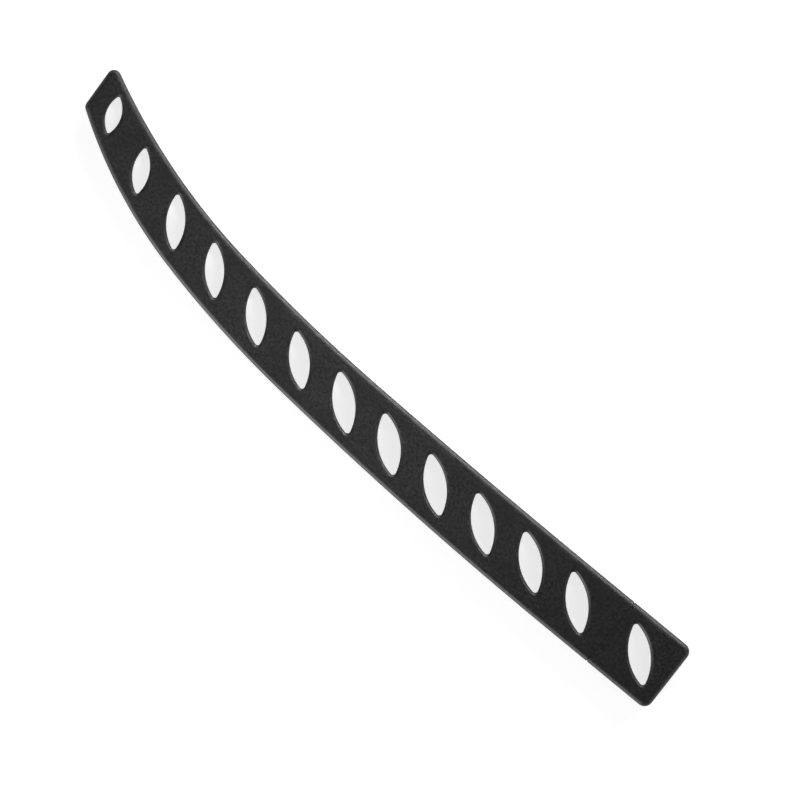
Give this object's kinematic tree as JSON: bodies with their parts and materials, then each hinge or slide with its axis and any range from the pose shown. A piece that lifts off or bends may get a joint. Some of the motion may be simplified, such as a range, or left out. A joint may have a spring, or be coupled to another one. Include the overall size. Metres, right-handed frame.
{
  "type": "knife blade guard",
  "caption": "Slim curved sheath for a chef's knife's cutting edge: slanted lens-shaped windows through its walls, closed along the edge side, open along the mouth.",
  "frame": {"origin": "centre of the guard's box on its back face, on which it lies", "axes": "+X from the tip end to the heel end, +Y from the closed edge to the mouth, +Z out of the front face"},
  "size_m": [0.209, 0.0402, 0.0054],
  "materials": {
    "wall_plastic": "fine matte grain, polypropylene",
    "keel_plastic": "plain moulded, polypropylene",
    "pin_plastic": "smooth, polypropylene"
  },
  "bodies": {
    "root": {"front_shell": "wall_plastic", "back_shell": "wall_plastic", "edge_keel": "keel_plastic", "keel_pins": "pin_plastic"}
  },
  "joints": []
}
